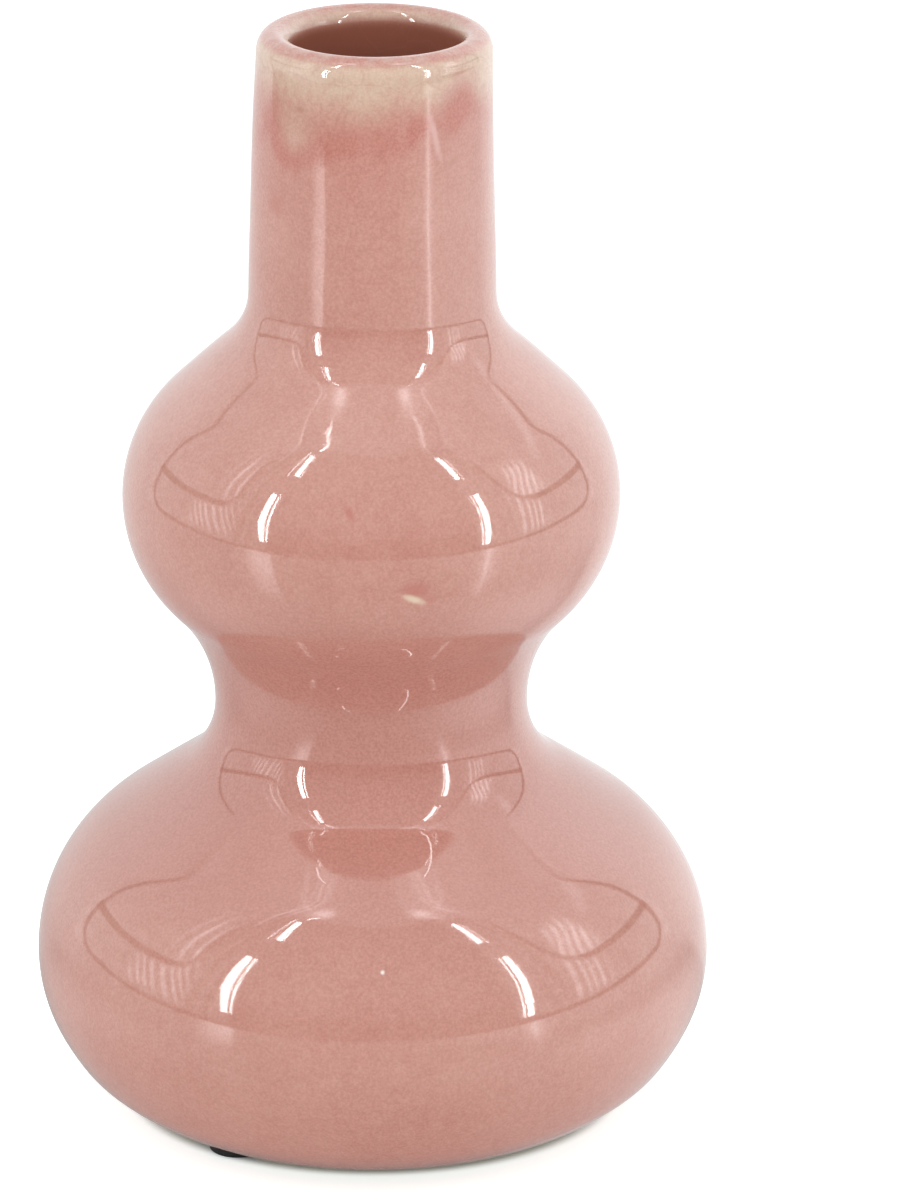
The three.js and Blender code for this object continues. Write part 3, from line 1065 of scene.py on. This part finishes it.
def lightTent():
    # A floor, an upright wall and a roof that leans in, turned about the axis. Only mirror rays see it.
    s = stageLook
    roofHeight = s["tentHeight"] + s["tentRadius"] - s["tentTop"]
    radii = [0, s["tentRadius"], s["tentRadius"], s["tentTop"]]
    heights = [0, 0, s["tentHeight"], roofHeight]
    share = np.linspace(0, 1, s["tentRings"])[1:]
    line = np.stack([np.interp(share, s["ringShares"], values) for values in (radii, heights)], 1)
    line = np.concatenate([[[0, 0]], line, [[0, roofHeight + s["tentRise"]]]]) - [0, s["floorDrop"] / 2]
    grid = turned(line / mm, s["tentSteps"])
    azimuth = np.arctan2(grid[..., 0], -grid[..., 1]) / degree
    fromAxis = np.hypot(grid[..., 0], grid[..., 1])
    rise = np.arctan2(grid[..., 2] - s["eyeHeight"] / mm, fromAxis) / degree
    tent = surfaceOfRings("lightTent", grid, {"glow": tentGlow(azimuth, rise)})
    tent.data.materials.append(glowing("tentCloth", "glow"))
    onlyInMirrors(tent)


def glowing(name, strength):
    # A material that only gives off light, as bright as a number or a named attribute
    material, tree, shader = newMaterial(name)
    tree.nodes.remove(shader)
    if isinstance(strength, str):
        strength = attribute(tree, strength)
    glow = addNode(tree, "Emission", {"Color": (1, 1, 1, 1), "Strength": strength})
    tree.links.new(glow.outputs[0], tree.nodes["Material Output"].inputs[0])
    return material


def onlyInMirrors(thing):
    thing.visible_camera = False
    thing.visible_diffuse = False
    thing.visible_transmission = False
    thing.visible_shadow = False


def aroundAxis(azimuth, distance, height):
    # A place in metres, from its azimuth in degrees, its distance from the axis and its height in mm
    turn = azimuth * degree
    return np.array([distance * math.sin(turn), -distance * math.cos(turn), height]) * mm


def lampPanel(name, glow, rows):
    # A bent strip of flat faces, as the lamp shows in the glaze
    verts = np.array([aroundAxis(a, r, z) for first, second, r, z in rows for a in (first, second)])
    faces = [(2 * i, 2 * i + 1, 2 * i + 3, 2 * i + 2) for i in range(len(rows) - 1)]
    mesh = bpy.data.meshes.new(name)
    mesh.from_pydata(verts.tolist(), [], faces)
    panel = bpy.data.objects.new(name, mesh)
    scene.collection.objects.link(panel)
    mesh.materials.append(glowing(name, glow * stageLook["stripGlow"]))
    onlyInMirrors(panel)


def softLamp(name, azimuth, low, high):
    # The light that a strip throws on matt surfaces, from between two places (distance, height)
    s = stageLook
    start, end = aroundAxis(azimuth, *low), aroundAxis(azimuth, *high)
    length = float(np.linalg.norm(end - start))
    run = (end - start) / length
    middle = (start + end) / 2
    away = middle - np.array(s["lampTarget"])
    away -= run * (away @ run)
    away /= np.linalg.norm(away)
    data = bpy.data.lights.new(name, "AREA")
    data.shape = "RECTANGLE"
    data.size = s["lampWidth"]
    data.size_y = length
    data.energy = s["lampStrength"] * math.pi * s["lampWidth"] * length
    lamp = bpy.data.objects.new(name, data)
    scene.collection.objects.link(lamp)
    matrix = np.eye(4)
    matrix[:3, :4] = np.stack([np.cross(run, away), run, away, middle], 1)
    lamp.matrix_world = Matrix(matrix.tolist())
    lamp.visible_camera = False
    lamp.visible_glossy = False


whiteWorld()
whiteFloor()
lightTent()
for name, (glow, rows) in lampPanels.items():
    lampPanel(name, glow, rows)
for name, places in softLamps.items():
    softLamp(name, *places)
scene.view_settings.view_transform = "Standard"
print("stage and lamps set")
